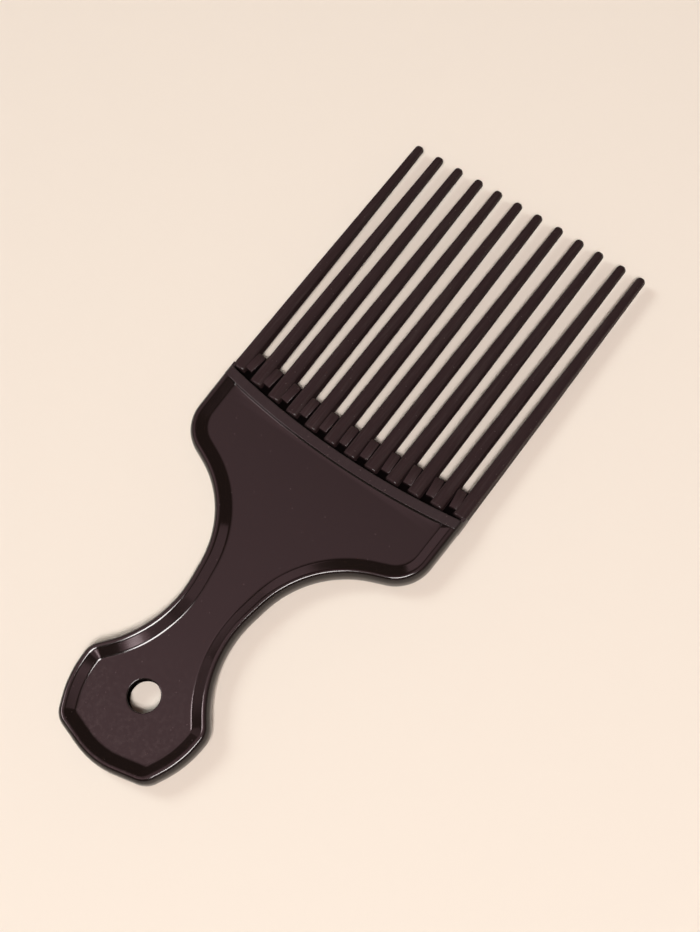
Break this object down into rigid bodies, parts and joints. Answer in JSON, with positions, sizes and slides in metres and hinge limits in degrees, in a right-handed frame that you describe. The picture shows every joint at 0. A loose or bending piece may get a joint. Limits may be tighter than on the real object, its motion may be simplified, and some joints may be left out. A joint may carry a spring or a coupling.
{
  "type": "afro pick",
  "caption": "Flat wide comb with long tapered teeth on a bar across a dished, waisted handle with a hanging hole.",
  "frame": {"origin": "centre of the bounding box, at its bottom: the plane that the pick rests on when it lies on its back", "axes": "+Y along the pick from the hanging hole to the tips of the teeth, +X to the right seen from the front, +Z out of the front face"},
  "size_m": [0.0714, 0.1734, 0.0055],
  "materials": {
    "handle_plastic": "glossy moulded plastic",
    "comb_plastic": "satin moulded plastic"
  },
  "bodies": {
    "root": {"handle": "handle_plastic", "tooth_bar": "comb_plastic", "tooth_01": "comb_plastic", "tooth_02": "comb_plastic", "tooth_03": "comb_plastic", "tooth_04": "comb_plastic", "tooth_05": "comb_plastic", "tooth_06": "comb_plastic", "tooth_07": "comb_plastic", "tooth_08": "comb_plastic", "tooth_09": "comb_plastic", "tooth_10": "comb_plastic", "tooth_11": "comb_plastic", "tooth_12": "comb_plastic"}
  },
  "joints": []
}
